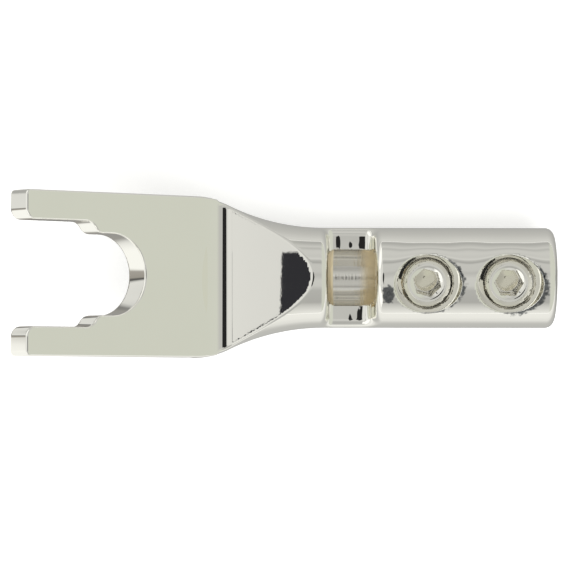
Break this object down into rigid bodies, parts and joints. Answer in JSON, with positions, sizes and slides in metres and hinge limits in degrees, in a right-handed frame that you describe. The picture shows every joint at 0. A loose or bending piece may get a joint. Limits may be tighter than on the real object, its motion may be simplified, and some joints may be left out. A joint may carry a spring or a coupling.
{
  "type": "speaker spade plug",
  "caption": "Round silver-plated barrel with a wire bore, sight window and hex-socket set screws, flaring to a bent fork with a stepped slot for binding posts.",
  "frame": {"origin": "centre of the wire bore's mouth, on the barrel's axis in the plane of its rear end", "axes": "+X along the barrel, out of the wire bore's mouth, the way the wire leaves; the fork points towards -X; +Z is the side of the set screws, towards which the fork is bent; +Y completes the right-handed set"},
  "size_m": [0.043, 0.0128, 0.0166],
  "materials": {
    "plated_copper": "bright silver-like plating, polished nearly to a mirror",
    "plated_screw": "bright plating over machined steel"
  },
  "bodies": {
    "spade": {"spade_body": "plated_copper"},
    "front_screw": {"front_set_screw": "plated_screw"},
    "rear_screw": {"rear_set_screw": "plated_screw"}
  },
  "joints": [
    {"name": "front_screw_slide", "type": "slide", "parent": "spade", "child": "front_screw", "axis": [0, -0.1736, 0.9848], "range_m": [-0.0006, 0.0032]},
    {"name": "rear_screw_slide", "type": "slide", "parent": "spade", "child": "rear_screw", "axis": [0, -0.1736, 0.9848], "range_m": [-0.0006, 0.0032]}
  ]
}
